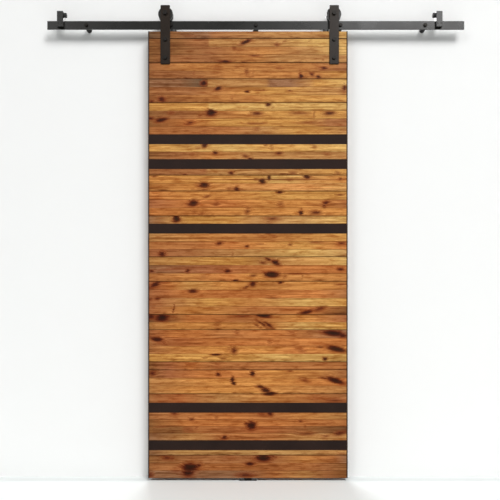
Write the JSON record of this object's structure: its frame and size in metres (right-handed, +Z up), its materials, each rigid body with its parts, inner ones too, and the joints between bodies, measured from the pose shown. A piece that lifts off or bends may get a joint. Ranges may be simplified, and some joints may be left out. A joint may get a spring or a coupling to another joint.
{
  "type": "sliding barn door with its rail and hangers",
  "caption": "Sliding barn door of horizontal wood boards with flat dark bands, hung by straight strap hangers on a flat rail that stands off the wall.",
  "frame": {"origin": "on the wall face behind the middle spacer, at the height of the rail's centre line", "axes": "+X along the rail to the right as seen from the room, +Y into the wall, +Z up"},
  "size_m": [2, 0.144, 2.2984],
  "materials": {
    "wood": "oiled, satin",
    "band_steel": "matt dark brown-black powder coat",
    "edge_steel": "matt dark brown-black powder coat",
    "rail_steel": "satin black powder coat",
    "strap_steel": "satin black powder coat",
    "wheel_steel": "satin black over turned steel",
    "bearing_steel": "ground",
    "fastener_steel": "black oxide",
    "nylon": "moulded, matt black",
    "rubber": "matt black"
  },
  "bodies": {
    "track": {"rail": "rail_steel", "spacer_1": "rail_steel", "spacer_2": "rail_steel", "spacer_3": "rail_steel", "spacer_4": "rail_steel", "spacer_5": "rail_steel", "lag_screws": "fastener_steel", "lag_washers": "fastener_steel", "end_stop_left": "rail_steel", "end_stop_right": "rail_steel", "bumper_left": "rubber", "bumper_right": "rubber", "stop_set_screws": "fastener_steel", "floor_guide": "nylon", "floor_guide_screws": "fastener_steel"},
    "door": {"board_01": "wood", "board_02": "wood", "board_03": "wood", "board_04": "wood", "board_05": "wood", "board_06": "wood", "board_07": "wood", "board_08": "wood", "board_09": "wood", "board_10": "wood", "board_11": "wood", "board_12": "wood", "board_13": "wood", "board_14": "wood", "board_15": "wood", "board_16": "wood", "board_17": "wood", "board_18": "wood", "board_19": "wood", "board_20": "wood", "board_21": "wood", "band_1": "band_steel", "band_2": "band_steel", "band_3": "band_steel", "band_4": "band_steel", "band_5": "band_steel", "edge_bar_left": "edge_steel", "edge_bar_right": "edge_steel", "strap_left": "strap_steel", "strap_right": "strap_steel", "axle_sleeve_left": "bearing_steel", "axle_sleeve_right": "bearing_steel", "axle_bolts": "fastener_steel", "axle_nuts": "fastener_steel", "strap_bolts": "fastener_steel", "strap_washers": "fastener_steel", "strap_nuts": "fastener_steel", "edge_screws": "fastener_steel", "disc_screws": "fastener_steel", "anti_jump_discs": "nylon"},
    "left_wheel": {"wheel_left": "wheel_steel", "bearing_left": "bearing_steel"},
    "right_wheel": {"wheel_right": "wheel_steel", "bearing_right": "bearing_steel"}
  },
  "joints": [
    {"name": "door_slide", "type": "slide", "parent": "track", "child": "door", "axis": [1, 0, 0], "range_m": [-0.44, 0.44]},
    {"name": "left_wheel_spin", "type": "hinge", "parent": "door", "child": "left_wheel", "pos_m": [-0.43155, -0.053, 0.0483], "axis": [0, 1, 0], "continuous": true},
    {"name": "right_wheel_spin", "type": "hinge", "parent": "door", "child": "right_wheel", "pos_m": [0.37345, -0.053, 0.0483], "axis": [0, 1, 0], "continuous": true}
  ],
  "couplings": [
    {"joint": "left_wheel_spin", "follows": "door_slide", "rad_per_m": 35.714},
    {"joint": "right_wheel_spin", "follows": "door_slide", "rad_per_m": 35.714}
  ]
}
